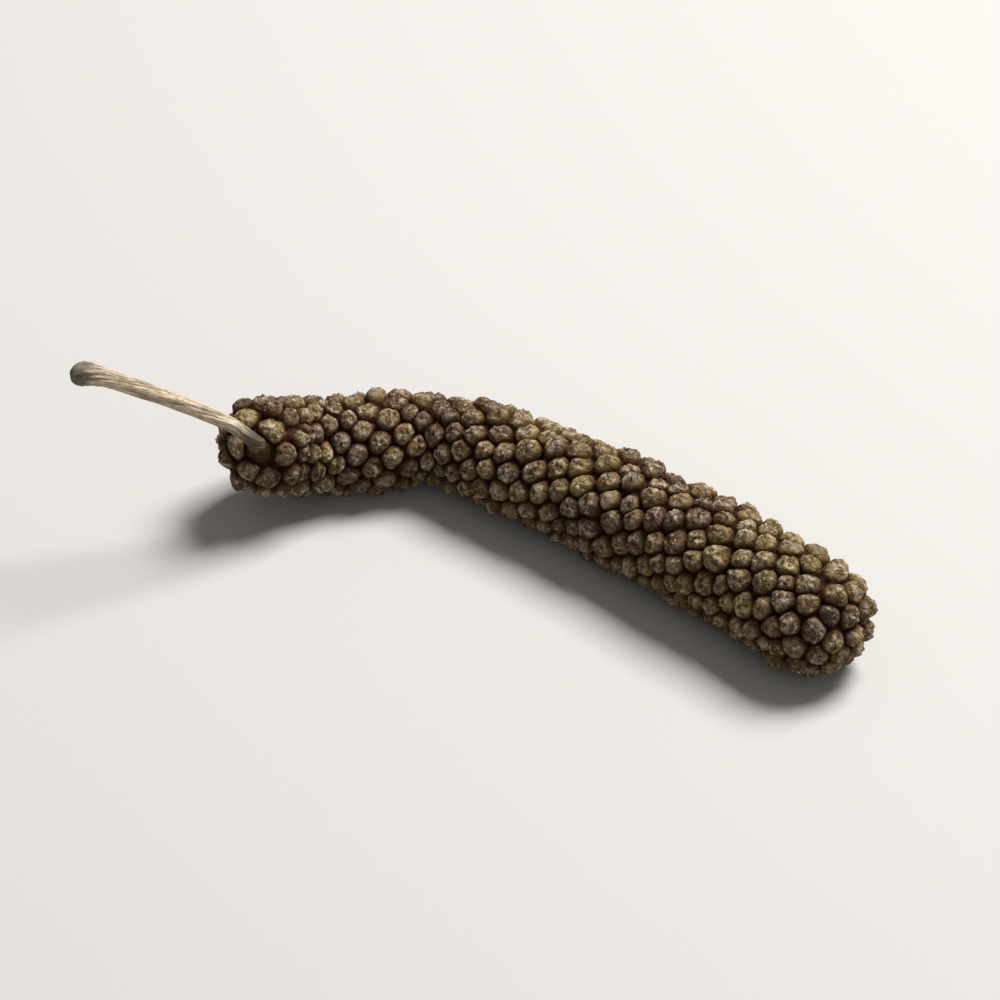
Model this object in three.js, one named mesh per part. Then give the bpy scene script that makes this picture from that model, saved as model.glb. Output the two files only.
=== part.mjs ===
// One dried long pepper, lying on its side: a bent spike, covered all over in small round berries, and the
// thin stalk that it hung from. Millimetres, +Z up. +X runs along the spike from its stalk end to its tip,
// the bend bulges to +Y, and the origin is under the middle of the whole, on the surface that it lies on.
import * as THREE from "three";

// The spike's axis, measured from its stalk end. A heading is the angle from +X towards +Y.
const SPIKE_LENGTH = 38; // between the groove floors at the two ends
const BASE_HEADING = 37.3; // degrees, before the bend
const BEND = { turn: 45.3, from: 8.8, to: 14.1 }; // degrees, over that stretch of the axis
const SLOW_BEND = { turn: 9, from: 16.7, to: 32.7 };
const BASE_CURL = { turn: 86, reach: 7.5 }; // the stalk end curls round, over its last 7.5 mm
const BASE_LIFT = { height: 2.97, reach: 7 }; // the stalk end leaves the surface

// The floor of the grooves between the berries, as a body of revolution about that axis.
const BASE_RADIUS = 2.12;
const TIP_RADIUS = 2.6;
const SWELL = { from: 6.7, to: 30.7 }; // where the radius grows from one to the other
const WAIST = { at: 11.5, depth: 0.3, reach: 1.9 };
const WAVE = { height: 0.05, per_mm: 0.95 };
const BASE_CAP = 1.7; // length of each rounded end
const TIP_CAP = 2.5;
const CAP_POWER = 2.2; // 2 is an ellipse, more is blunter

// The berries, laid out from the stalk end in one spiral, with the same area of skin for each.
const BERRY_COUNT = 412;
const BERRY_RISE = 0.56; // from the groove floor to the top of a berry
const RISE_SPREAD = 0.2; // share by which a berry may be higher or lower
const SHRUNKEN = { share: 0.08, rise: 0.62 };
const GOLDEN_ANGLE = Math.PI * (3 - Math.sqrt(5));
const SHIFT = 0.24; // how far a berry strays from the spiral, in mm
const COLLAR_RADIUS = 1.1; // no berry is centred nearer to the stalk than this
const RING_REACH = 0.65; // a berry's ring of corners: share of the way out
const RING_RISE = 0.8; // and share of its height
const SADDLE_RISE = 0.22; // height of the skin between two neighbours
const SHORT_BORDER = 0.45; // on a border shorter than this, it is lower
const PIT_ROUNDNESS = 0.55; // how far a pit is from the middle of three berries to the point as far from each
const NEIGHBOURS = 18; // berries looked at round each one
const FLAT_DEPTH = 0.24; // how deep the surface cuts the lowest berries flat

// The stalk: its route in the upright plane of its heading, as [distance back from its hole, height above it].
const HOLE = { radius: 0.52, depth: 0.9 };
const STALK_ROUTE = [[0.9, 1.1], [1.9, 1.95], [4.2, 3.45], [6.5, 4.87], [8, 5.65], [8.7, 5.85], [9.3, 5.85]];
const STRAIGHT = 0.45; // how far the stalk sticks out straight before it turns up
const STALK_HEADING = 222;
const STALK_RADIUS = { root: 0.33, neck: 0.45 }; // it thickens a little towards its foot
const FOOT = { radius: 0.6, middle: 0.7, reach: 0.8 }; // the swelling where it broke off, from the end back
const END = { round: 0.55, scar: 0.5 }; // length of its rounded end, and the scar's share of the radius there
const RIDGES = { count: 5, height: 0.07, twist: 0.5 }; // height as a share of the radius, twist in turns
const STALK_SIDES = 15;
const STALK_STEPS = 24;

const AXIS_STEPS = 760;
const SKIN_STEPS = 4000;

const { degToRad, lerp, smoothstep } = THREE.MathUtils;
const vector = (x, y, z) => new THREE.Vector3(x, y, z);
const mix = (points) => points.reduce((sum, p) => sum.add(p), vector(0, 0, 0)).divideScalar(points.length);
const fade = (distance, reach) => Math.max(0, 1 - distance / reach) ** 2;

// A repeatable draw from 0 to 1 for berry n.
function draw(n, channel) {
  const x = Math.sin(n * 127.1 + channel * 311.7) * 43758.5453;
  return x - Math.floor(x);
}

// Radius of the groove floor without the rounded ends.
function bodyRadius(s) {
  const swollen = lerp(BASE_RADIUS, TIP_RADIUS, smoothstep(s, SWELL.from, SWELL.to));
  const waist = WAIST.depth * Math.exp(-(((s - WAIST.at) / WAIST.reach) ** 2));
  return swollen - waist + WAVE.height * Math.sin(WAVE.per_mm * s);
}

function floorRadius(s) {
  const round = (x) => (1 - (1 - Math.min(x, 1)) ** CAP_POWER) ** (1 / CAP_POWER);
  return bodyRadius(s) * round(s / BASE_CAP) * round((SPIKE_LENGTH - s) / TIP_CAP);
}

function heading(s) {
  const base = BASE_HEADING + BASE_CURL.turn * fade(s, BASE_CURL.reach);
  const bend = BEND.turn * smoothstep(s, BEND.from, BEND.to);
  const slow = SLOW_BEND.turn * smoothstep(s, SLOW_BEND.from, SLOW_BEND.to);
  return degToRad(base - bend - slow);
}

// The axis as points, one for each step along it, each high enough for the berries below to reach the surface.
const axisPoints = [];
for (let k = 0, x = 0, y = 0; k <= AXIS_STEPS; k++) {
  const s = (k / AXIS_STEPS) * SPIKE_LENGTH;
  const thick = lerp(BASE_RADIUS, TIP_RADIUS, smoothstep(s, SWELL.from, SWELL.to));
  const lift = BASE_LIFT.height * fade(s, BASE_LIFT.reach);
  axisPoints.push(vector(x, y, thick + BERRY_RISE - FLAT_DEPTH + lift));
  x += (Math.cos(heading(s)) * SPIKE_LENGTH) / AXIS_STEPS;
  y += (Math.sin(heading(s)) * SPIKE_LENGTH) / AXIS_STEPS;
}

// The axis at distance s: its point, its direction, and the level and upward directions across it.
function axisAt(s) {
  const at = Math.min((s / SPIKE_LENGTH) * AXIS_STEPS, AXIS_STEPS - 1e-6);
  const [before, after] = [axisPoints[Math.floor(at)], axisPoints[Math.floor(at) + 1]];
  const along = after.clone().sub(before).normalize();
  const side = vector(-along.y, along.x, 0).normalize();
  const point = before.clone().lerp(after, at - Math.floor(at));
  return { point, along, side, up: along.clone().cross(side) };
}

// The groove floor from end to end, with the skin's area up to each step, and the distance along it counted in
// radii, which a sphere shares (it is the Mercator map's northing).
const skin = [];
for (let k = 1, area = 0, northing = 0; k < SKIN_STEPS; k++) {
  const s = (SPIKE_LENGTH * (1 - Math.cos((Math.PI * k) / SKIN_STEPS))) / 2;
  const r = floorRadius(s);
  const last = skin.at(-1) ?? { s: 0, r: 0 };
  const slant = Math.hypot(s - last.s, r - last.r);
  area += Math.PI * (r + last.r) * slant;
  if (skin.length) northing += (2 * slant) / (r + last.r);
  skin.push({ s, r, area, northing, outward: (s - last.s) / slant, forward: (last.r - r) / slant });
}
const skinArea = skin.at(-1).area;
const midNorthing = skin.find((row) => row.area > skinArea / 2).northing;

// A place on the groove floor: where it is, which way is out, and its place on the sphere.
function siteAt(row, turn, rise) {
  const { point, along, side, up } = axisAt(row.s);
  const radial = side.multiplyScalar(Math.cos(turn)).addScaledVector(up, Math.sin(turn));
  const northing = row.northing - midNorthing;
  const straight = vector(row.r * Math.cos(turn), row.r * Math.sin(turn), row.s);
  return {
    foot: point.addScaledVector(radial, row.r),
    out: radial.multiplyScalar(row.outward).addScaledVector(along, row.forward).normalize(),
    globe: vector(Math.cos(turn), Math.sin(turn), Math.sinh(northing)).divideScalar(Math.cosh(northing)),
    straight,
    rise,
  };
}

function berrySites() {
  const collar = Math.PI * COLLAR_RADIUS ** 2;
  return Array.from({ length: BERRY_COUNT }, (_, n) => {
    const spiral = lerp(collar, skinArea, (n + 0.5) / BERRY_COUNT);
    const girth = 2 * Math.PI * skin.find((row) => row.area > spiral).r;
    const area = spiral + SHIFT * (2 * draw(n, 1) - 1) * girth;
    const row = skin.find((place) => place.area > Math.max(area, collar)) ?? skin.at(-2);
    const turn = n * GOLDEN_ANGLE + (SHIFT * (2 * draw(n, 2) - 1) * 2 * Math.PI) / girth;
    const size = draw(n, 4) < SHRUNKEN.share ? SHRUNKEN.rise : 1 + RISE_SPREAD * (2 * draw(n, 3) - 1);
    return siteAt(row, turn, BERRY_RISE * size);
  });
}

// The bare end of the spike, where the stalk goes in.
function stalkSite() {
  const { point, along } = axisAt(0);
  return { foot: point, out: along.clone().negate(), globe: vector(0, 0, -1), straight: vector(0, 0, 0), rise: 0 };
}

// Every three sites with no other site inside the circle through them, in order as seen from outside. On the
// sphere, that circle is where their plane cuts it, so every other site lies on the plane's inner side.
function neighbourTriangles(sites) {
  const found = [];
  sites.forEach((site, i) => {
    const distance = (j) => sites[j].straight.distanceToSquared(site.straight);
    const near = sites.map((_, j) => j).filter((j) => j !== i && distance(j) < 16);
    near.sort((a, b) => distance(a) - distance(b)).length = Math.min(near.length, NEIGHBOURS);
    const steps = near.map((j) => sites[j].globe.clone().sub(site.globe));
    near.forEach((j, a) => near.forEach((k, b) => {
      if (i > j || i > k || a === b) return;
      const plane = steps[a].clone().cross(steps[b]);
      if (steps.every((step, c) => c === a || c === b || plane.dot(step) < 0)) found.push([i, j, k]);
    }));
  });
  return found;
}

// Where the pit among three berries is: part of the way from their middle to the point as far from each, which
// is held to the triangle between them.
function pitAmong(feet) {
  const [a, b, c] = feet.map((_, i) => feet[(i + 1) % 3].distanceToSquared(feet[(i + 2) % 3]));
  const pulls = [a * (b + c - a), b * (c + a - b), c * (a + b - c)].map((pull) => Math.max(pull, 0));
  const even = vector(0, 0, 0);
  feet.forEach((foot, i) => even.addScaledVector(foot, pulls[i] / (pulls[0] + pulls[1] + pulls[2])));
  return mix(feet).lerp(even, PIT_ROUNDNESS);
}

// The spike as one closed skin: each berry is a faceted knob, with pits and saddles between it and the next.
function spikeGeometry() {
  const berries = berrySites();
  const sites = [...berries, stalkSite()];
  const places = [];
  const faces = [];
  const borders = new Map();
  const around = sites.map(() => new Map());
  const vertex = (p) => places.push(p.x, p.y, Math.max(p.z, 0)) / 3 - 1;

  for (const corner of neighbourTriangles(sites)) {
    const pit = vertex(pitAmong(corner.map((i) => sites[i].foot)));
    corner.forEach((i, turn) => {
      around[i].set(corner[(turn + 1) % 3], { next: corner[(turn + 2) % 3], pit });
    });
  }

  // The border between two sites has a pit at each end and a saddle in the middle.
  const borderOf = (i, j) => {
    const key = Math.min(i, j) * sites.length + Math.max(i, j);
    if (!borders.has(key)) {
      const ends = [around[i].get(j).pit, around[j].get(i).pit].map((id) => vector().fromArray(places, 3 * id));
      const middle = mix(ends);
      const short = Math.min(1, ends[0].distanceTo(ends[1]) / SHORT_BORDER);
      const height = (SADDLE_RISE * short * (sites[i].rise + sites[j].rise)) / 2;
      const saddle = middle.clone().addScaledVector(mix([sites[i].out, sites[j].out]), height);
      borders.set(key, { middle, saddle: vertex(saddle) });
    }
    return borders.get(key);
  };

  // The edge of site i's patch of skin: each border, and the pit after it.
  const edgeOf = (i) => {
    const edge = [];
    const first = around[i].keys().next().value;
    let j = first;
    do {
      const { next, pit } = around[i].get(j);
      edge.push({ ...borderOf(i, j), pit });
      j = next;
    } while (j !== first);
    return edge;
  };

  berries.forEach(({ foot, out, rise }, i) => {
    const edge = edgeOf(i);
    const top = vertex(foot.clone().addScaledVector(out, rise));
    const ring = edge.map(({ middle }) => {
      return vertex(foot.clone().lerp(middle, RING_REACH).addScaledVector(out, RING_RISE * rise));
    });
    edge.forEach(({ saddle, pit }, j) => {
      const next = (j + 1) % edge.length;
      faces.push(top, ring[j], ring[next], ring[j], saddle, pit);
      faces.push(ring[j], pit, ring[next], ring[next], pit, edge[next].saddle);
    });
  });

  // The plain hole that the stalk stands in.
  const { point, along } = axisAt(0);
  const rim = edgeOf(BERRY_COUNT).flatMap(({ saddle, pit }) => [saddle, pit]);
  const walls = rim.map((id) => {
    const spoke = vector(...places.slice(3 * id, 3 * id + 3)).sub(point).projectOnPlane(along);
    return point.clone().addScaledVector(spoke.normalize(), HOLE.radius);
  });
  const mouth = walls.map((p) => vertex(p));
  const floor = walls.map((p) => vertex(p.clone().addScaledVector(along, HOLE.depth)));
  const bottom = vertex(point.clone().addScaledVector(along, HOLE.depth));
  rim.forEach((id, j) => {
    const next = (j + 1) % rim.length;
    faces.push(id, rim[next], mouth[next], id, mouth[next], mouth[j]);
    faces.push(mouth[j], mouth[next], floor[next], mouth[j], floor[next], floor[j]);
    faces.push(floor[j], floor[next], bottom);
  });
  return closedGeometry(places, faces);
}

function closedGeometry(places, faces) {
  const geometry = new THREE.BufferGeometry();
  geometry.setAttribute("position", new THREE.Float32BufferAttribute(places, 3));
  geometry.setIndex(faces);
  return geometry;
}

// The stalk's middle line, from inside its hole to its swollen foot.
function stalkLine() {
  const { point, along } = axisAt(0);
  const back = vector(Math.cos(degToRad(STALK_HEADING)), Math.sin(degToRad(STALK_HEADING)), 0);
  const root = point.clone().addScaledVector(along, HOLE.depth - 0.15);
  const mouth = point.clone().addScaledVector(along, -STRAIGHT);
  const route = STALK_ROUTE.map(([away, height]) => {
    return point.clone().addScaledVector(back, away).add(vector(0, 0, height));
  });
  return new THREE.CatmullRomCurve3([root, mouth, ...route]);
}

// Radius of the stalk at a share of its length, without its ridges.
function stalkRadius(share, length) {
  const fromEnd = (1 - share) * length;
  const swelling = Math.exp(-(((fromEnd - FOOT.middle) / FOOT.reach) ** 2));
  const body = lerp(lerp(STALK_RADIUS.root, STALK_RADIUS.neck, share), FOOT.radius, swelling);
  return body * Math.sqrt(1 - (1 - END.scar ** 2) * fade(fromEnd, END.round));
}

function stalkGeometry() {
  const line = stalkLine();
  const length = line.getLength();
  const places = [];
  const faces = [];
  for (let k = 0; k <= STALK_STEPS; k++) {
    const share = lerp(k / STALK_STEPS, (1 - Math.cos((Math.PI * k) / STALK_STEPS)) / 2, 0.5);
    const radius = stalkRadius(share, length);
    const point = line.getPointAt(share);
    const along = line.getTangentAt(share);
    const side = vector(-along.y, along.x, 0).normalize();
    const up = along.clone().cross(side);
    for (let j = 0; j < STALK_SIDES; j++) {
      const turn = (2 * Math.PI * j) / STALK_SIDES;
      const ridge = 1 + RIDGES.height * Math.cos(RIDGES.count * (turn + 2 * Math.PI * RIDGES.twist * share));
      const spoke = side.clone().multiplyScalar(Math.cos(turn)).addScaledVector(up, Math.sin(turn));
      places.push(...point.clone().addScaledVector(spoke, radius * ridge));
    }
  }
  const root = places.push(...line.getPointAt(0)) / 3 - 1;
  const end = places.push(...line.getPointAt(1)) / 3 - 1;
  for (let j = 0; j < STALK_SIDES; j++) {
    const next = (j + 1) % STALK_SIDES;
    for (let k = 0; k < STALK_STEPS; k++) {
      const [here, there] = [k * STALK_SIDES, (k + 1) * STALK_SIDES];
      faces.push(here + j, here + next, there + next, here + j, there + next, there + j);
    }
    faces.push(root, next, j, end, STALK_STEPS * STALK_SIDES + j, STALK_STEPS * STALK_SIDES + next);
  }
  return closedGeometry(places, faces);
}

function part(name, geometry, color, roughness) {
  const material = new THREE.MeshStandardMaterial({ color, roughness, metalness: 0, flatShading: true });
  const mesh = new THREE.Mesh(geometry, material);
  mesh.name = name;
  return mesh;
}

const pepper = new THREE.Group();
pepper.add(part("fruit_spike", spikeGeometry(), 0x4b3c2c, 0.85));
pepper.add(part("stalk", stalkGeometry(), 0x8a7454, 0.8));

const box = new THREE.Box3().setFromObject(pepper, true);
const middle = box.getCenter(vector(0, 0, 0));
pepper.position.set(-middle.x, -middle.y, -box.min.z);

export default pepper;
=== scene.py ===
"""A dried long pepper lying on its side: the berried spike and its stalk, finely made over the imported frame.

Lengths are in millimetres until a mesh is made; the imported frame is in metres.
"""

import math

import bpy
import numpy as np
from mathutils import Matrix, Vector, noise


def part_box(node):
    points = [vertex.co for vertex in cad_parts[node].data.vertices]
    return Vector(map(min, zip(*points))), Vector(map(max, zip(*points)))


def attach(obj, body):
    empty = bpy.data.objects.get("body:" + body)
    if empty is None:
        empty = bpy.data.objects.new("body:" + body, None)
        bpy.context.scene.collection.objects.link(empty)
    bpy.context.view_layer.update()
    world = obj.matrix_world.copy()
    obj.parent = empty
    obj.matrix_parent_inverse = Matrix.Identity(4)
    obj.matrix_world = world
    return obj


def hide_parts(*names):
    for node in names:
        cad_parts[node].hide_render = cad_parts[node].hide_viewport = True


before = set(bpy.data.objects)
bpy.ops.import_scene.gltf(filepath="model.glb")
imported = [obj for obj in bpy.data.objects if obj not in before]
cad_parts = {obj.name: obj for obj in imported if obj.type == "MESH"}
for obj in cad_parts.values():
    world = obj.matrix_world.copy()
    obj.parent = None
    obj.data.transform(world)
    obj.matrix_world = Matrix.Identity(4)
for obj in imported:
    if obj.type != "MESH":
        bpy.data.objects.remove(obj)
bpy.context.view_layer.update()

MM = 0.001

# The spike's axis and its groove floor, with the part's own values.
SPIKE_LENGTH = 38
BASE_HEADING = 37.3
BEND_TURN, BEND_FROM, BEND_TO = 45.3, 8.8, 14.1
SLOW_TURN, SLOW_FROM, SLOW_TO = 9, 16.7, 32.7
BASE_CURL, CURL_REACH = 86, 7.5
BASE_LIFT, LIFT_REACH = 2.97, 7
BASE_RADIUS, TIP_RADIUS = 2.12, 2.6
SWELL_FROM, SWELL_TO = 6.7, 30.7
WAIST_AT, WAIST_DEPTH, WAIST_REACH = 11.5, 0.3, 1.9
WAVE_HEIGHT, WAVE_PER_MM = 0.05, 0.95
BASE_CAP, TIP_CAP, CAP_POWER = 1.7, 2.5, 2.2
AXIS_STEPS, SKIN_STEPS = 760, 4000

# The berries, with the part's own values.
BERRY_COUNT = 412
BERRY_RISE = 0.56
RISE_SPREAD = 0.2
SHRUNKEN_SHARE, SHRUNKEN_RISE = 0.08, 0.62
GOLDEN_ANGLE = math.pi * (3 - math.sqrt(5))
SHIFT = 0.24
COLLAR_RADIUS = 1.1
RING_REACH, RING_RISE = 0.65, 0.8
SADDLE_RISE, SHORT_BORDER = 0.22, 0.45
PIT_ROUNDNESS = 0.55
NEIGHBOURS, NEIGHBOUR_REACH = 18, 4
FLAT_DEPTH = 0.24

# What is drawn for each berry. A draw depends on the berry's number and on the place in this list.
DRAWS = (
    "shift along", "shift round", "size", "shrunken", "tone", "lower", "folds",
    "pucker", "dimple", "turn", "way to lean", "lean", "smaller",
)
DRAW_BY_BERRY, DRAW_BY_PLACE, DRAW_SPREAD = 127.1, 311.7, 43758.5453

# The finer form of a berry: its rings, as shares of the way from its top down to its foot, and its borders.
RINGS = (0.12, 0.25, 0.4, 0.54, 0.67, 0.78, 0.88, 0.95, 1.0)
KNOB_POWER = 2.8
ROUNDING, WIDEST = 0.3, 0.985
BORDER_STEP, FEWEST_STEPS, MOST_STEPS = 0.18, 2, 6
PIT_DEPTH = 0.13

# How much one berry differs from the next: in girth, height and lean, and in its folds and dimple.
SMALLER, LOWER, LEAN = 0.04, 0.18, 0.12
FEWEST_FOLDS, MORE_FOLDS = 4, 4
PUCKER, PUCKER_LEAST, PUCKER_SPREAD = 0.03, 0.4, 1.2
DIMPLE_DEPTH, DIMPLE_LEAST, DIMPLE_SPREAD = 0.06, 0.3, 1.2
DIMPLE_RADIUS = 0.09
# The dimple's raised lip, its place and its sharpness in dimple radii.
LIP_RISE, LIP_AT, LIP_SHARPNESS = 0.35, 1.9, 3
# How far the berries round the stalk lean in over its socket.
CROWD = 0.25

# Dried wrinkles: their height, its share on a berry's top and how much more there is on its sides, and the
# creases between them. A little more than the share on top is left at the berry's foot.
WRINKLE, WRINKLE_TOP, WRINKLE_SIDE, FOOT_SHARE = 0.075, 0.5, 0.8, 0.98
CREASE_DEPTH = 3.2
WIDE_CREASES, FINE_CREASES, FINE_CREASE_SHARE = 2.3, 4.9, 0.6
FINE_CREASE_SHIFT = Vector((7, 3, 1))

# The socket round the stalk, as rings of a share of the way in and a height, and the lumps on its collar.
HOLE_DEPTH = 0.9
SOCKET_RADIUS = 0.4
SOCKET_RIM = (
    (0.3, 0.02), (0.55, 0.08), (0.78, 0.2), (0.93, 0.36), (1.0, 0.4), (1.0, 0.1), (1.0, -HOLE_DEPTH),
)
SOCKET_LUMPS, LUMPS_PER_MM = 0.16, 4

# What the spike's material reads off the berries: the share of a berry's rise, the tone, the share outward. A
# low rise gets painted shade, which darkens the grooves, the collar and the hole.
GROOVE_LOOK, COLLAR_LOOK, HOLE_LOOK = (0.0, 0.5, 1.0), (0.38, 0.4, 0.8), (0.1, 0.4, 0.8)

# The stalk's route from the spike's end, as a distance back and a height, with the part's own values.
STALK_ROUTE = ((0.9, 1.1), (1.9, 1.95), (4.2, 3.45), (6.5, 4.87), (8, 5.65), (8.7, 5.85), (9.3, 5.85))
STRAIGHT = 0.45
STALK_HEADING = 222
ROOT_GAP = 0.15
ROOT_RADIUS, NECK_RADIUS = 0.33, 0.45
FOOT_RADIUS, FOOT_MIDDLE, FOOT_REACH = 0.6, 0.7, 0.8
END_ROUND, SCAR_SHARE = 0.55, 0.5
RIDGE_COUNT, RIDGE_HEIGHT, RIDGE_TWIST = 5, 0.07, 0.5

# The stalk's finer form: the ring above its foot, the flare onto the socket's lip, fibres and lumps.
NODE_AT, NODE_RING, NODE_WIDTH = 1.5, 0.03, 0.12
FLARE_AT, FLARE_RING, FLARE_ABOVE, FLARE_BELOW = 1.16, 0.08, 0.3, 0.1
FIBRE_COUNT, FIBRE_HEIGHT, FIBRE_TURN = 13, 0.03, 2
ROUGH_ROUND, ROUGH_ALONG, ROUGH_FINER = 2.2, 7, 3
ROUGH_HEIGHT, ROUGH_FINE_HEIGHT = 0.05, 0.03
LUMPS_PLACE, LUMPS_ROUND, LUMPS_FINER = 2.2, 2, 2.7
LUMP_HEIGHT, LUMP_FINE_HEIGHT = 0.16, 0.09
END_HOLLOW = 0.16
STALK_SIDES, STALK_STEPS, CURVE_STEPS = 60, 130, 60


# Small sums.


def smoothstep(x, low, high):
    t = min(max((x - low) / (high - low), 0.0), 1.0)
    return t * t * (3 - 2 * t)


def lerp(a, b, t):
    return a + (b - a) * t


def fade(distance, reach):
    return max(0.0, 1 - distance / reach) ** 2


def hill(x):
    """1 at 0, falling smoothly on both sides."""
    return math.exp(-(x**2))


def unit(v):
    return v / np.linalg.norm(v)


def draw(n, what):
    """A repeatable draw from 0 to 1 for berry n."""
    x = math.sin(n * DRAW_BY_BERRY + (DRAWS.index(what) + 1) * DRAW_BY_PLACE) * DRAW_SPREAD
    return x - math.floor(x)


# The axis and the skin.


def thickness(s):
    return lerp(BASE_RADIUS, TIP_RADIUS, smoothstep(s, SWELL_FROM, SWELL_TO))


def floor_radius(s):
    def rounded(x):
        return (1 - (1 - min(x, 1)) ** CAP_POWER) ** (1 / CAP_POWER)

    waist = WAIST_DEPTH * hill((s - WAIST_AT) / WAIST_REACH)
    body = thickness(s) - waist + WAVE_HEIGHT * math.sin(WAVE_PER_MM * s)
    return body * rounded(s / BASE_CAP) * rounded((SPIKE_LENGTH - s) / TIP_CAP)


def heading(s):
    base = BASE_HEADING + BASE_CURL * fade(s, CURL_REACH)
    bend = BEND_TURN * smoothstep(s, BEND_FROM, BEND_TO)
    return math.radians(base - bend - SLOW_TURN * smoothstep(s, SLOW_FROM, SLOW_TO))


def axis_table():
    points, x, y = [], 0.0, 0.0
    step = SPIKE_LENGTH / AXIS_STEPS
    for k in range(AXIS_STEPS + 1):
        s = k * step
        height = thickness(s) + BERRY_RISE - FLAT_DEPTH + BASE_LIFT * fade(s, LIFT_REACH)
        points.append((x, y, height))
        x += math.cos(heading(s)) * step
        y += math.sin(heading(s)) * step
    return np.array(points)


AXIS = axis_table()


def axis_at(s):
    """The axis at distance s: its point, its direction, and the level and upward directions across it."""
    at = min(s / SPIKE_LENGTH * AXIS_STEPS, AXIS_STEPS - 1e-6)
    k = int(at)
    along = unit(AXIS[k + 1] - AXIS[k])
    side = unit(np.array([-along[1], along[0], 0.0]))
    return lerp(AXIS[k], AXIS[k + 1], at - k), along, side, np.cross(along, side)


def skin_table():
    """Columns s, r, area so far, northing, outward share and forward share of the skin's own direction."""
    rows, area, northing, last_s, last_r = [], 0.0, 0.0, 0.0, 0.0
    for k in range(1, SKIN_STEPS):
        s = SPIKE_LENGTH * (1 - math.cos(math.pi * k / SKIN_STEPS)) / 2
        r = floor_radius(s)
        slant = math.hypot(s - last_s, r - last_r)
        area += math.pi * (r + last_r) * slant
        if rows:
            northing += 2 * slant / (r + last_r)
        rows.append((s, r, area, northing, (s - last_s) / slant, (last_r - r) / slant))
        last_s, last_r = s, r
    return np.array(rows)


SKIN = skin_table()
SKIN_AREA = SKIN[-1, 2]


def row_past(area):
    """The first row of the skin table with more area behind it, or the last but one."""
    k = int(np.searchsorted(SKIN[:, 2], area, side="right"))
    return SKIN[k] if k < len(SKIN) else SKIN[-2]


MID_NORTHING = row_past(SKIN_AREA / 2)[3]


# Where the berries stand.


class Site:
    """A berry's foot on the skin, its way out, its places on a globe and the unbent spike, and its rise."""

    def __init__(self, foot, out, globe, straight, rise):
        self.foot, self.out, self.globe, self.straight, self.rise = foot, out, globe, straight, rise


def berry_sites():
    """A site for each berry in its spiral, and last the stalk's own."""
    collar = math.pi * COLLAR_RADIUS**2
    sites = []
    for n in range(BERRY_COUNT):
        spiral = lerp(collar, SKIN_AREA, (n + 0.5) / BERRY_COUNT)
        girth = 2 * math.pi * row_past(spiral)[1]
        area = spiral + SHIFT * (2 * draw(n, "shift along") - 1) * girth
        s, r, _, northing, outward, forward = row_past(max(area, collar))
        turn = n * GOLDEN_ANGLE + SHIFT * (2 * draw(n, "shift round") - 1) * 2 * math.pi / girth
        size = 1 + RISE_SPREAD * (2 * draw(n, "size") - 1)
        if draw(n, "shrunken") < SHRUNKEN_SHARE:
            size = SHRUNKEN_RISE
        point, along, side, up = axis_at(s)
        radial = side * math.cos(turn) + up * math.sin(turn)
        north = northing - MID_NORTHING
        globe = np.array([math.cos(turn), math.sin(turn), math.sinh(north)]) / math.cosh(north)
        straight = np.array([r * math.cos(turn), r * math.sin(turn), s])
        out = unit(radial * outward + along * forward)
        sites.append(Site(point + radial * r, out, globe, straight, BERRY_RISE * size))
    point, along, _, _ = axis_at(0)
    sites.append(Site(point, -along, np.array([0.0, 0.0, -1.0]), np.zeros(3), 0.0))
    return sites


def neighbour_triangles(sites):
    """Every three sites with no other inside the circle through them, in order as seen from outside."""
    straight = np.array([site.straight for site in sites])
    globe = np.array([site.globe for site in sites])
    found = []
    for i in range(len(sites)):
        squared = ((straight - straight[i]) ** 2).sum(1)
        order = np.argsort(squared, kind="stable")
        near = [j for j in order if j != i and squared[j] < NEIGHBOUR_REACH**2][:NEIGHBOURS]
        steps = globe[near] - globe[i]
        planes = np.cross(steps[:, None, :], steps[None, :, :])
        inside = planes @ steps.T < 0
        count = len(near)
        for a in range(count):
            inside[a, :, a] = True
            inside[:, a, a] = True
        clear = inside.all(2)
        for a in range(count):
            for b in range(count):
                if a != b and i < near[a] and i < near[b] and clear[a, b]:
                    found.append((i, int(near[a]), int(near[b])))
    return found


def pit_among(feet):
    """Part of the way from three berries' middle to the point as far from each, held to their triangle."""
    a, b, c = (((feet[(i + 1) % 3] - feet[(i + 2) % 3]) ** 2).sum() for i in range(3))
    pulls = np.maximum([a * (b + c - a), b * (c + a - b), c * (a + b - c)], 0)
    even = (feet * pulls[:, None]).sum(0) / pulls.sum()
    return lerp(feet.mean(0), even, PIT_ROUNDNESS)


# The spike.


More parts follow.
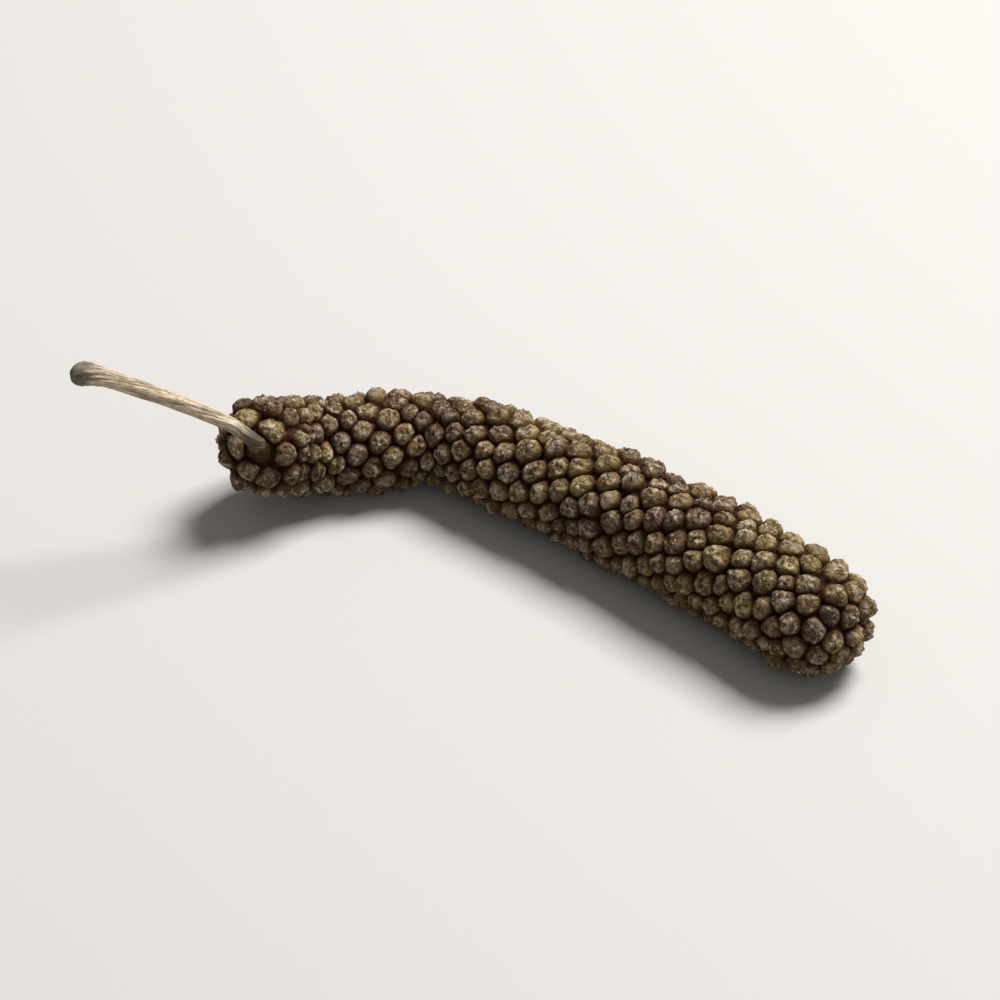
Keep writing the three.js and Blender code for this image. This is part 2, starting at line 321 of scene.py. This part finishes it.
class Skin:
    """The spike's one skin: points, each over its flat place on the groove floor, and the faces."""

    def __init__(self, sites):
        self.sites = sites
        self.points, self.flats, self.outs, self.heights, self.looks = [], [], [], [], []
        self.faces = []
        self.borders = {}
        # For each site, by neighbour: the next neighbour round it, and the pit between those two.
        self.around = [{} for _ in sites]
        self.pits = []
        for corner in neighbour_triangles(sites):
            feet = np.array([sites[i].foot for i in corner])
            self.pits.append((pit_among(feet), unit(sum(sites[i].out for i in corner))))
            for turn, i in enumerate(corner):
                self.around[i][corner[(turn + 1) % 3]] = (corner[(turn + 2) % 3], len(self.pits) - 1)
        self.pit_ids = [self.vertex(flat, out, -PIT_DEPTH, GROOVE_LOOK) for flat, out in self.pits]

    def vertex(self, flat, out, height, look):
        """Adds a point at a height over its flat place, with what its material reads."""
        self.points.append(flat + out * height)
        self.flats.append(flat)
        self.outs.append(out)
        self.heights.append(height)
        self.looks.append(look)
        return len(self.points) - 1

    def border(self, i, j):
        """Ids along the border of i and j, from the pit before it to the pit after it as i has them."""
        if i > j:
            return self.border(j, i)[::-1]
        if (i, j) not in self.borders:
            first, last = self.around[j][i][1], self.around[i][j][1]
            start, end = self.pits[first][0], self.pits[last][0]
            a, b = self.sites[i], self.sites[j]
            length = np.linalg.norm(end - start)
            out = unit(a.out + b.out)
            rise = SADDLE_RISE * min(1.0, length / SHORT_BORDER) * (a.rise + b.rise) / 2
            steps = min(max(round(length / BORDER_STEP), FEWEST_STEPS), MOST_STEPS)
            ids = [self.pit_ids[first]]
            for k in range(1, steps):
                height = lerp(-PIT_DEPTH, rise, math.sin(math.pi * k / steps))
                look = (max(height, 0.0) / BERRY_RISE, 0.5, 1.0)
                ids.append(self.vertex(lerp(start, end, k / steps), out, height, look))
            self.borders[i, j] = ids + [self.pit_ids[last]]
        return self.borders[i, j]

    def edge(self, i):
        """Ids of the points round site i, and the middles of its borders."""
        first = next(iter(self.around[i]))
        j, ids, middles = first, [], []
        while True:
            following, pit = self.around[i][j]
            ids += self.border(i, j)[:-1]
            middles.append((self.pits[pit][0] + self.pits[self.around[j][i][1]][0]) / 2)
            j = following
            if j == first:
                return ids, middles


def add_berry(skin, i):
    """A knob in rings from its top down to the edge that it shares with its neighbours."""
    site = skin.sites[i]
    ids, _ = skin.edge(i)
    spokes = np.array([skin.flats[k] for k in ids]) - site.foot
    reach = np.linalg.norm(spokes, axis=1)
    level = unit(np.cross(site.out, spokes[0]))
    across = unit(np.cross(level, site.out))
    angle = np.arctan2(spokes @ level, spokes @ across)

    tone = draw(i, "tone")
    rise = site.rise * (1 - LOWER * draw(i, "lower"))
    folds = FEWEST_FOLDS + int(MORE_FOLDS * draw(i, "folds"))
    depth = PUCKER * (PUCKER_LEAST + PUCKER_SPREAD * draw(i, "pucker"))
    dimple = DIMPLE_DEPTH * (DIMPLE_LEAST + DIMPLE_SPREAD * draw(i, "dimple"))
    turned = 2 * math.pi * draw(i, "turn")
    way = 2 * math.pi * draw(i, "way to lean")
    lean = LEAN * draw(i, "lean") * reach.mean() * (level * math.cos(way) + across * math.sin(way))
    if BERRY_COUNT in skin.around[i]:
        inward = skin.sites[BERRY_COUNT].foot - site.foot
        lean = CROWD * unit(inward - site.out * (inward @ site.out))
    evened = lerp(reach, lerp(reach.min(), reach.mean(), 0.5), ROUNDING)
    widths = np.minimum(evened, WIDEST * reach) * (1 - SMALLER * draw(i, "smaller")) / reach

    top = skin.vertex(site.foot + lean, site.out, rise - dimple, (1.0, tone, 0.0))
    rings = []
    for share in RINGS:
        knob = (1 - share**KNOB_POWER) ** 0.5
        ring = []
        for k, edge_id in enumerate(ids):
            flat = site.foot + spokes[k] * share * widths[k] + lean * knob
            out = unit(lerp(site.out, skin.outs[edge_id], (share * widths[k]) ** 2))
            height = lerp(skin.heights[edge_id], rise, knob)
            fold = math.cos(folds * angle[k] + turned) * math.sin(math.pi * share)
            away = share * reach[k] * widths[k] / DIMPLE_RADIUS
            scar = LIP_RISE * math.exp(-LIP_SHARPNESS * (away - LIP_AT) ** 2) - hill(away)
            height += depth * fold + dimple * scar
            ring.append(skin.vertex(flat, out, height, (height / rise, tone, share)))
        rings.append(ring)
    rings.append(ids)
    for k in range(len(ids)):
        following = (k + 1) % len(ids)
        skin.faces.append((top, rings[0][k], rings[0][following]))
        for inner, outer in zip(rings, rings[1:]):
            skin.faces.append((inner[k], outer[k], outer[following], inner[following]))


def add_socket(skin):
    """The collar round the stalk, its lip, and the hole that the stalk stands in."""
    point, along, _, _ = axis_at(0)
    ids, _ = skin.edge(BERRY_COUNT)
    count = len(ids)
    last = ids
    for inward, height in SOCKET_RIM:
        look = COLLAR_LOOK if height > 0 else HOLE_LOOK
        ring = []
        for edge_id in ids:
            spoke = skin.flats[edge_id] - point
            spoke = spoke - along * (spoke @ along)
            flat = lerp(skin.flats[edge_id], point + unit(spoke) * SOCKET_RADIUS, inward)
            lump = SOCKET_LUMPS * math.sin(math.pi * inward) * noise.noise(Vector(flat) * LUMPS_PER_MM)
            ring.append(skin.vertex(flat, -along, height + lump, look))
        for k in range(count):
            following = (k + 1) % count
            skin.faces.append((last[k], last[following], ring[following], ring[k]))
        last = ring
    bottom = skin.vertex(point, -along, -HOLE_DEPTH, GROOVE_LOOK)
    skin.faces += [(last[k], last[(k + 1) % count], bottom) for k in range(count)]


def wrinkled(skin, count):
    """The skin's points, with the first ones wrinkled and none below the surface that the pepper lies on."""
    points = np.array(skin.points)
    for k in range(count):
        place = Vector(points[k])
        fine = FINE_CREASE_SHARE * abs(noise.noise(place * FINE_CREASES + FINE_CREASE_SHIFT))
        crease = abs(noise.noise(place * WIDE_CREASES)) + fine
        outward = min(skin.looks[k][2], FOOT_SHARE)
        strength = WRINKLE * (WRINKLE_TOP + WRINKLE_SIDE * math.sin(math.pi * outward))
        points[k] += skin.outs[k] * strength * (1 - CREASE_DEPTH * crease)
    points[:, 2] = np.maximum(points[:, 2], 0)
    return points


def coarse_middle(skin):
    """The middle of the part's own spike, on which each berry has a top and one ring."""
    coarse = []
    for i, site in enumerate(skin.sites[:-1]):
        _, middles = skin.edge(i)
        coarse.append(site.foot + site.out * site.rise)
        coarse += [lerp(site.foot, m, RING_REACH) + site.out * RING_RISE * site.rise for m in middles]
    coarse = np.array(coarse)
    return (coarse.min(0) + coarse.max(0)) / 2


def spike():
    """The spike's points, its faces, what its material reads, and its shift to its place in the frame."""
    skin = Skin(berry_sites())
    for i in range(BERRY_COUNT):
        add_berry(skin, i)
    berry_points = len(skin.points)
    add_socket(skin)
    low, high = (np.array(corner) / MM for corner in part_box("fruit_spike"))
    shift = (low + high) / 2 - coarse_middle(skin)
    shift[2] = 0
    return wrinkled(skin, berry_points), skin.faces, skin.looks, shift


# The stalk.


def smooth_line(knots, count):
    """Even points on the centripetal Catmull-Rom curve through the knots, its directions and its length."""
    knots = [2 * knots[0] - knots[1], *knots, 2 * knots[-1] - knots[-2]]
    dense = []
    for p0, p1, p2, p3 in zip(knots, knots[1:], knots[2:], knots[3:]):
        d0, d1, d2 = (math.sqrt(np.linalg.norm(b - a)) for a, b in ((p0, p1), (p1, p2), (p2, p3)))
        t1 = ((p1 - p0) / d0 - (p2 - p0) / (d0 + d1) + (p2 - p1) / d1) * d1
        t2 = ((p2 - p1) / d1 - (p3 - p1) / (d1 + d2) + (p3 - p2) / d2) * d1
        for k in range(CURVE_STEPS):
            t = k / CURVE_STEPS
            bend = (-3 * p1 + 3 * p2 - 2 * t1 - t2) * t**2 + (2 * p1 - 2 * p2 + t1 + t2) * t**3
            dense.append(p1 + t1 * t + bend)
    dense = np.array(dense + [knots[-2]])
    travelled = np.concatenate([[0], np.cumsum(np.linalg.norm(np.diff(dense, axis=0), axis=1))])
    even = np.linspace(0, travelled[-1], count)
    line = np.stack([np.interp(even, travelled, dense[:, axis]) for axis in range(3)], 1)
    return line, np.gradient(line, axis=0), travelled[-1]


def stalk_swell(share, length):
    return hill(((1 - share) * length - FOOT_MIDDLE) / FOOT_REACH)


def stalk_radius(share, length):
    """The stalk's radius a share of the way from its root: its neck, foot, ring, flare and rounded end."""
    travelled, from_end = share * length, (1 - share) * length
    radius = lerp(lerp(ROOT_RADIUS, NECK_RADIUS, share), FOOT_RADIUS, stalk_swell(share, length))
    radius += NODE_RING * hill((from_end - NODE_AT) / NODE_WIDTH)
    flare_width = FLARE_ABOVE if travelled > FLARE_AT else FLARE_BELOW
    radius += FLARE_RING * hill((travelled - FLARE_AT) / flare_width)
    return radius * math.sqrt(1 - (1 - SCAR_SHARE**2) * fade(from_end, END_ROUND))


def stalk_relief(share, length, twisted, place, spoke):
    """What ridges, fibres, roughness and the foot's lumps make of the radius, as a share of it."""
    ridge = 1 + RIDGE_HEIGHT * math.cos(RIDGE_COUNT * twisted)
    ridge += FIBRE_HEIGHT * math.cos(FIBRE_COUNT * twisted + FIBRE_TURN)
    across = Vector((math.cos(twisted) * ROUGH_ROUND, math.sin(twisted) * ROUGH_ROUND, share * ROUGH_ALONG))
    rough = ROUGH_HEIGHT * noise.noise(across) + ROUGH_FINE_HEIGHT * noise.noise(across * ROUGH_FINER)
    lump = Vector(place) * LUMPS_PLACE + Vector(spoke) * LUMPS_ROUND
    lumps = LUMP_HEIGHT * noise.noise(lump) + LUMP_FINE_HEIGHT * noise.noise(lump * LUMPS_FINER)
    return ridge + (rough + stalk_swell(share, length) * lumps)


def stalk():
    """The stalk's points, its faces, what its material reads (two round it, one along it), and its length."""
    point, along, _, _ = axis_at(0)
    turn = math.radians(STALK_HEADING)
    back = np.array([math.cos(turn), math.sin(turn), 0.0])
    knots = [point + along * (HOLE_DEPTH - ROOT_GAP), point - along * STRAIGHT]
    knots += [point + back * away + np.array([0, 0, height]) for away, height in STALK_ROUTE]
    line, directions, length = smooth_line(knots, STALK_STEPS + 1)
    points, grain, faces = [], [], []
    for k, (place, direction) in enumerate(zip(line, directions)):
        share = k / STALK_STEPS
        ahead = unit(direction)
        side = unit(np.array([-ahead[1], ahead[0], 0.0]))
        up = np.cross(ahead, side)
        radius = stalk_radius(share, length)
        for j in range(STALK_SIDES):
            angle = 2 * math.pi * j / STALK_SIDES
            twisted = angle + 2 * math.pi * RIDGE_TWIST * share
            spoke = side * math.cos(angle) + up * math.sin(angle)
            points.append(place + spoke * radius * stalk_relief(share, length, twisted, place, spoke))
            grain.append((math.cos(twisted), math.sin(twisted), share * length))
    root, end = len(points), len(points) + 1
    points += [line[0], line[-1] - unit(directions[-1]) * END_HOLLOW]
    grain += [(0, 0, 0), (0, 0, length)]
    last = STALK_STEPS * STALK_SIDES
    for j in range(STALK_SIDES):
        following = (j + 1) % STALK_SIDES
        for k in range(STALK_STEPS):
            here, there = k * STALK_SIDES, (k + 1) * STALK_SIDES
            faces.append((here + j, here + following, there + following, there + j))
        faces += [(root, following, j), (end, last + j, last + following)]
    return points, faces, grain, length


# Meshes and materials.


def make_object(name, points, faces, attributes):
    """A smooth mesh from points in millimetres, with a vector attribute per point for its material."""
    mesh = bpy.data.meshes.new(name)
    mesh.from_pydata((np.asarray(points) * MM).tolist(), [], faces)
    mesh.polygons.foreach_set("use_smooth", [True] * len(mesh.polygons))
    for label, values in attributes.items():
        layer = mesh.attributes.new(label, "FLOAT_VECTOR", "POINT")
        layer.data.foreach_set("vector", np.asarray(values, dtype=np.float32).ravel())
    mesh.update()
    piece = bpy.data.objects.new(name, mesh)
    bpy.context.collection.objects.link(piece)
    return piece


def colour(red, green, blue):
    """An sRGB colour, 0 to 255, as the linear one that a shader takes."""
    share = [c / 255 for c in (red, green, blue)]
    return tuple(c / 12.92 if c <= 0.04045 else ((c + 0.055) / 1.055) ** 2.4 for c in share) + (1.0,)


class Nodes:
    """Builds a material's node tree by short calls. Bump distances are in metres."""

    def __init__(self, name):
        self.material = bpy.data.materials.new(name)
        self.material.use_nodes = True
        self.tree = self.material.node_tree
        self.shader = self.tree.nodes["Principled BSDF"]

    def node(self, kind, inputs=(), **settings):
        node = self.tree.nodes.new("ShaderNode" + kind)
        for key, value in settings.items():
            setattr(node, key, value)
        for key, value in dict(inputs).items():
            self.feed(node, key, value)
        return node

    def feed(self, node, key, value):
        if isinstance(value, bpy.types.NodeSocket):
            self.tree.links.new(value, node.inputs[key])
        else:
            node.inputs[key].default_value = value

    def maths(self, operation, a, b=0.0, clamp=False):
        return self.node("Math", {0: a, 1: b}, operation=operation, use_clamp=clamp).outputs[0]

    def times(self, a, b):
        return self.maths("MULTIPLY", a, b)

    def centred(self, value, strength):
        """A noise value moved to lie evenly round 0, at a strength."""
        return self.times(self.maths("SUBTRACT", value, 0.5), strength)

    def ramp(self, value, low, high, to_low=0.0, to_high=1.0):
        places = {"Value": value, "From Min": low, "From Max": high, "To Min": to_low, "To Max": to_high}
        return self.node("MapRange", places, interpolation_type="SMOOTHSTEP").outputs[0]

    def mix(self, share, a, b):
        return self.node("Mix", {0: share, 6: a, 7: b}, data_type="RGBA").outputs[2]

    def tint(self, skin, where, strength, shade):
        """The skin with a shade laid over it where a mask is 1, at a strength."""
        return self.mix(self.times(where, strength), skin, shade)

    def noise(self, vector, scale, detail=2.0, roughness=0.5):
        places = {"Vector": vector, "Scale": scale, "Detail": detail, "Roughness": roughness}
        return self.node("TexNoise", places).outputs["Fac"]

    def attribute(self, name):
        return self.node("Attribute", attribute_name=name).outputs["Vector"]

    def parts(self, vector):
        return self.node("SeparateXYZ", {0: vector}).outputs[:]

    def bump(self, height, distance, normal=None):
        places = {"Height": height, "Distance": distance, "Strength": 1.0}
        if normal is not None:
            places["Normal"] = normal
        return self.node("Bump", places).outputs[0]


BROWN, TAN, MAUVE, OLIVE = colour(88, 67, 43), colour(126, 104, 69), colour(92, 70, 60), colour(132, 114, 60)
# The bloom colour is dust that also carries a painted highlight on the berries' tops.
# The flank colour is painted shade, darkening each berry's sides towards its foot, broken by blotches.
# The vein colour is dark mottled veins and painted shade along the creases of the bump.
BLOOM_AND_HIGHLIGHT, STAIN, FLANK_SHADE, VEIN_AND_CREASE_SHADE = colour(168, 156, 135), colour(59, 40, 22), colour(66, 43, 20), colour(38, 20, 9)
# The grain colour is pale grains that also carry painted glints on the berries' tops.
# The groove colour is painted shade between the berries, on the collar and in the stalk's hole.
GROOVE_SHADE, DOT, PALE_GRAIN_AND_GLINT, PIT = colour(38, 17, 5), colour(50, 32, 20), colour(188, 178, 160), colour(42, 24, 12)
DARK_FIBRE, PALE_FIBRE = colour(126, 106, 82), colour(208, 195, 168)
HAIR, PATCH = colour(92, 70, 46), colour(112, 88, 62)
# The root colour is painted shade on the stalk where it goes in among the berries.
DARK_CRUST, PALE_CRUST, ROOT_SHADE = colour(52, 44, 38), colour(98, 89, 79), colour(62, 46, 26)


def berry_material():
    """Brown, mauve and olive berries with stains and veins, dusty tops with a painted highlight and painted
    glints, and painted shade on the flanks, in the creases and, dark reddish, in the grooves.
    """
    m = Nodes("berry_skin")
    place = m.node("TexCoord").outputs["Object"]
    rise, tone, outward = m.parts(m.attribute("berry"))
    # Noises on the piece's own place, with their scales per metre.
    patches = m.noise(place, 150, 2)
    blotch = m.noise(place, 700, 3, 0.6)
    mottle = m.noise(place, 2300, 4, 0.62)
    grains = m.noise(place, 3600, 3, 0.6)
    specks = m.noise(place, 7000, 2, 0.6)
    crease = m.maths("ABSOLUTE", m.maths("SUBTRACT", m.noise(place, 1500, 2, 0.55), 0.5))

    # Each berry's own colour, then larger olive patches.
    skin = m.mix(m.ramp(tone, 0.15, 0.85), BROWN, TAN)
    skin = m.tint(skin, m.ramp(tone, 0.3, 0.0), 0.7, MAUVE)
    skin = m.tint(skin, m.ramp(patches, 0.5, 0.64), 0.75, OLIVE)
    # Dusty bloom with a painted highlight on the tops, more on some berries, then stains, and painted shade on
    # the flanks.
    dust_and_highlight_share = m.ramp(m.maths("FRACT", m.times(tone, 7.3)), 0.0, 1.0, 0.45, 1.0)
    dust_and_highlight = m.times(m.times(m.ramp(rise, 0.5, 0.95), dust_and_highlight_share), m.ramp(mottle, 0.42, 0.6))
    skin = m.tint(skin, dust_and_highlight, 0.9, BLOOM_AND_HIGHLIGHT)
    skin = m.tint(skin, m.ramp(blotch, 0.60, 0.40), 0.55, STAIN)
    flank_shade = m.maths("ADD", m.ramp(rise, 0.92, 0.35), m.centred(blotch, 1.2), True)
    skin = m.tint(skin, flank_shade, 0.8, FLANK_SHADE)
    # Dark veins with painted shade along the bump's creases, painted shade in the grooves, and the dot on each
    # top.
    veins_and_crease_shade = m.maths("MAXIMUM", m.ramp(mottle, 0.46, 0.34), m.ramp(crease, 0.035, 0.005))
    skin = m.tint(skin, veins_and_crease_shade, 0.6, VEIN_AND_CREASE_SHADE)
    groove_shade = m.maths("ADD", m.ramp(rise, 0.5, 0.1), m.centred(mottle, 0.9), True)
    skin = m.mix(groove_shade, skin, GROOVE_SHADE)
    skin = m.tint(skin, m.ramp(outward, 0.22, 0.08), 0.7, DOT)
    # Pale grains with painted glints on the tops, and dark pits.
    pale_grain_and_glint = m.times(m.ramp(grains, 0.57, 0.66), m.ramp(rise, 0.45, 0.85))
    skin = m.tint(skin, pale_grain_and_glint, 0.5, PALE_GRAIN_AND_GLINT)
    skin = m.tint(skin, m.ramp(grains, 0.42, 0.34), 0.6, PIT)

    m.feed(m.shader, "Base Color", skin)
    m.feed(m.shader, "Roughness", m.ramp(mottle, 0.35, 0.65, 0.74, 0.95))
    m.feed(m.shader, "Specular IOR Level", 0.12)
    fine = m.bump(specks, 0.00003)
    wrinkled_normal = m.bump(mottle, 0.0001, fine)
    m.feed(m.shader, "Normal", m.bump(m.ramp(crease, 0.0, 0.06), 0.00003, wrinkled_normal))
    return m.material


def stalk_material(length):
    """Tan fibres along the stalk, a grey crust on its foot, and painted shade darkening the stalk towards its
    root, where it goes in among the berries.
    """
    m = Nodes("stalk_fibre")
    place = m.node("TexCoord").outputs["Object"]
    grain = m.attribute("grain")
    travelled = m.parts(grain)[2]
    streaks = m.node("Mapping", {"Vector": grain, "Scale": (3.2, 3.2, 0.35)}).outputs[0]
    fibre = m.noise(streaks, 2.4, 3, 0.6)
    hair = m.noise(streaks, 7, 2, 0.5)
    blotch = m.noise(place, 900, 3, 0.6)

    skin = m.mix(m.ramp(fibre, 0.38, 0.62), DARK_FIBRE, PALE_FIBRE)
    skin = m.tint(skin, m.ramp(hair, 0.5, 0.38), 0.6, HAIR)
    skin = m.tint(skin, m.ramp(blotch, 0.54, 0.68), 0.5, PATCH)
    foot = m.ramp(m.maths("ADD", travelled, m.times(blotch, 1.2)), length - 1.3, length + 0.3)
    crust = m.mix(m.ramp(blotch, 0.42, 0.58), DARK_CRUST, PALE_CRUST)
    skin = m.tint(skin, foot, 0.92, crust)
    # Painted shade: the stalk darker towards its root.
    root = m.ramp(m.maths("ADD", travelled, m.times(blotch, 0.8)), 3.5, 1.9)
    skin = m.tint(skin, root, 0.92, ROOT_SHADE)

    m.feed(m.shader, "Base Color", skin)
    m.feed(m.shader, "Roughness", m.ramp(fibre, 0.3, 0.7, 0.82, 0.62))
    m.feed(m.shader, "Specular IOR Level", 0.35)
    m.feed(m.shader, "Normal", m.bump(hair, 0.00003, m.bump(blotch, 0.00004)))
    return m.material


spike_points, spike_faces, berry_looks, SHIFT_TO_FRAME = spike()
stalk_points, stalk_faces, grain_looks, STALK_LENGTH = stalk()
fruit_spike = make_object(
    "fruit_spike_fine", spike_points + SHIFT_TO_FRAME, spike_faces, {"berry": berry_looks}
)
stalk_piece = make_object(
    "stalk_fine", np.array(stalk_points) + SHIFT_TO_FRAME, stalk_faces, {"grain": grain_looks}
)

for piece, node, slot, material in (
    (fruit_spike, "fruit_spike", "berries", berry_material()),
    (stalk_piece, "stalk", "stalk", stalk_material(STALK_LENGTH)),
):
    piece.data.materials.append(material)
    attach(piece, "root")
    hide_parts(node)


# Floor, light and camera, in metres.

FLOOR_REACH, FLOOR_DROP = 1, 2e-5
SKY_COLOUR, SKY_STRENGTH = (1.0, 0.985, 0.96, 1.0), 0.27
VIEW_AZIMUTH, VIEW_ELEVATION = math.radians(28.3), math.radians(37)
VIEW_TARGET, VIEW_DISTANCE, VIEW_WIDTH = Vector((0.0, 0.0, 0.005)), 0.35, 0.05
SENSOR_MM, CLIP_START = 36, 0.01

corners = [(x * FLOOR_REACH, y * FLOOR_REACH, -FLOOR_DROP) for x, y in ((-1, -1), (1, -1), (1, 1), (-1, 1))]
floor_mesh = bpy.data.meshes.new("floor")
floor_mesh.from_pydata(corners, [], [(0, 1, 2, 3)])
floor = bpy.data.objects.new("floor", floor_mesh)
bpy.context.collection.objects.link(floor)
paper = Nodes("pale_floor")
paper.feed(paper.shader, "Base Color", colour(172, 170, 167))
paper.feed(paper.shader, "Roughness", 0.9)
floor_mesh.materials.append(paper.material)

world = bpy.data.worlds.new("studio")
world.use_nodes = True
world.node_tree.nodes["Background"].inputs["Color"].default_value = SKY_COLOUR
world.node_tree.nodes["Background"].inputs["Strength"].default_value = SKY_STRENGTH
bpy.context.scene.world = world


def aim(thing, place, target):
    thing.location = place
    thing.rotation_euler = (Vector(target) - Vector(place)).to_track_quat("-Z", "Y").to_euler()


def soft_light(name, place, size, watts, tint):
    data = bpy.data.lights.new(name, "AREA")
    data.shape = "SQUARE"
    data.size = size
    data.energy = watts
    data.color = tint
    light = bpy.data.objects.new(name, data)
    bpy.context.collection.objects.link(light)
    aim(light, place, (0, 0, 0))


soft_light("key_light", place=(0.09, 0.2, 0.36), size=0.2, watts=3.8, tint=(1.0, 0.99, 0.98))
soft_light("fill_light", place=(0.4, -0.35, 0.3), size=0.4, watts=0.35, tint=(1.0, 0.99, 0.97))

direction = Vector((
    math.sin(VIEW_AZIMUTH) * math.cos(VIEW_ELEVATION),
    -math.cos(VIEW_AZIMUTH) * math.cos(VIEW_ELEVATION),
    math.sin(VIEW_ELEVATION),
))
camera_data = bpy.data.cameras.new("camera")
camera_data.sensor_width = SENSOR_MM
camera_data.lens = SENSOR_MM * VIEW_DISTANCE / VIEW_WIDTH
camera_data.clip_start = CLIP_START
camera = bpy.data.objects.new("camera", camera_data)
bpy.context.collection.objects.link(camera)
aim(camera, VIEW_TARGET + direction * VIEW_DISTANCE, VIEW_TARGET)
bpy.context.scene.camera = camera
bpy.context.scene.view_settings.view_transform = "Standard"
